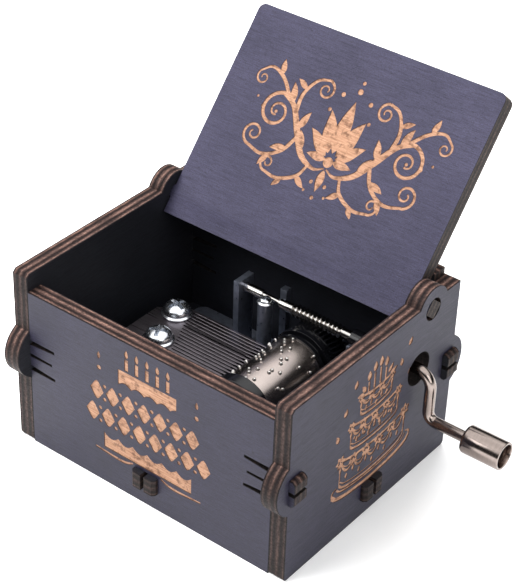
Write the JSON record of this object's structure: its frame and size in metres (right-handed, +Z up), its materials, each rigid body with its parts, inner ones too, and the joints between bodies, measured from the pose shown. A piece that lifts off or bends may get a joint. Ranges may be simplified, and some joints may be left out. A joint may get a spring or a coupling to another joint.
{
  "type": "hand crank music box",
  "caption": "Small lidded plywood case, snapped together, with a pinned-drum and steel-comb movement turned by a bent crank.",
  "frame": {"origin": "on the table under the middle of the case's footprint", "axes": "+Z up, -Y the front with the lid's free edge when shut, +X the side with the crank"},
  "size_m": [0.085, 0.0726, 0.0685],
  "materials": {
    "stained_plywood": "black-stained plywood with a matt face and laser-burnt layered edges",
    "engraved_wood": "bare wood where the stain is engraved away",
    "cast_zinc": "dark zinc die casting",
    "comb_steel": "hardened steel, ground along the teeth, dark grey",
    "lead": "dull lead",
    "black_plastic": "satin moulded black plastic",
    "screw_steel": "bright zinc-plated steel",
    "drum_steel": "satin nickel-plated steel with fine turning lines",
    "pin_steel": "bright steel wire",
    "bright_steel": "polished plated steel",
    "nickel_plate": "polished nickel plate"
  },
  "bodies": {
    "case": {"left_side_panel": "stained_plywood", "right_side_panel": "stained_plywood", "front_panel": "stained_plywood", "back_panel": "stained_plywood", "bottom_panel": "stained_plywood", "bedplate": "cast_zinc", "movement_screws": "screw_steel", "comb_base": "cast_zinc", "comb": "comb_steel", "comb_weights": "lead", "comb_dampers": "black_plastic", "comb_screws": "screw_steel", "drum_bearing_plate": "bright_steel", "bearing_plate_screws": "screw_steel", "shaft_bearing": "black_plastic", "shaft_retaining_screw": "screw_steel"},
    "lid": {"lid": "stained_plywood"},
    "crank": {"worm_shaft": "bright_steel", "crank_rod": "nickel_plate", "knob_washer": "nickel_plate"},
    "knob": {"crank_knob": "nickel_plate"},
    "drum": {"drum_shell": "drum_steel", "drum_pins": "pin_steel", "drum_front_cap": "black_plastic", "worm_wheel": "black_plastic", "drum_arbor": "bright_steel"}
  },
  "joints": [
    {"name": "lid_hinge", "type": "hinge", "parent": "case", "child": "lid", "pos_m": [0, 0.01655, 0.03652], "axis": [1, 0, 0], "range_deg": [0, 130.4]},
    {"name": "crank_turn", "type": "hinge", "parent": "case", "child": "crank", "pos_m": [0.0092, 0.0134, 0.0249], "axis": [1, 0, 0], "continuous": true},
    {"name": "knob_spin", "type": "hinge", "parent": "crank", "child": "knob", "pos_m": [0.04765, 0.0134, 0.0148], "axis": [1, 0, 0], "continuous": true},
    {"name": "drum_turn", "type": "hinge", "parent": "case", "child": "drum", "pos_m": [0.0092, 0, 0.01785], "axis": [0, 1, 0], "continuous": true}
  ],
  "couplings": [
    {"joint": "drum_turn", "follows": "crank_turn", "ratio": -0.025}
  ]
}
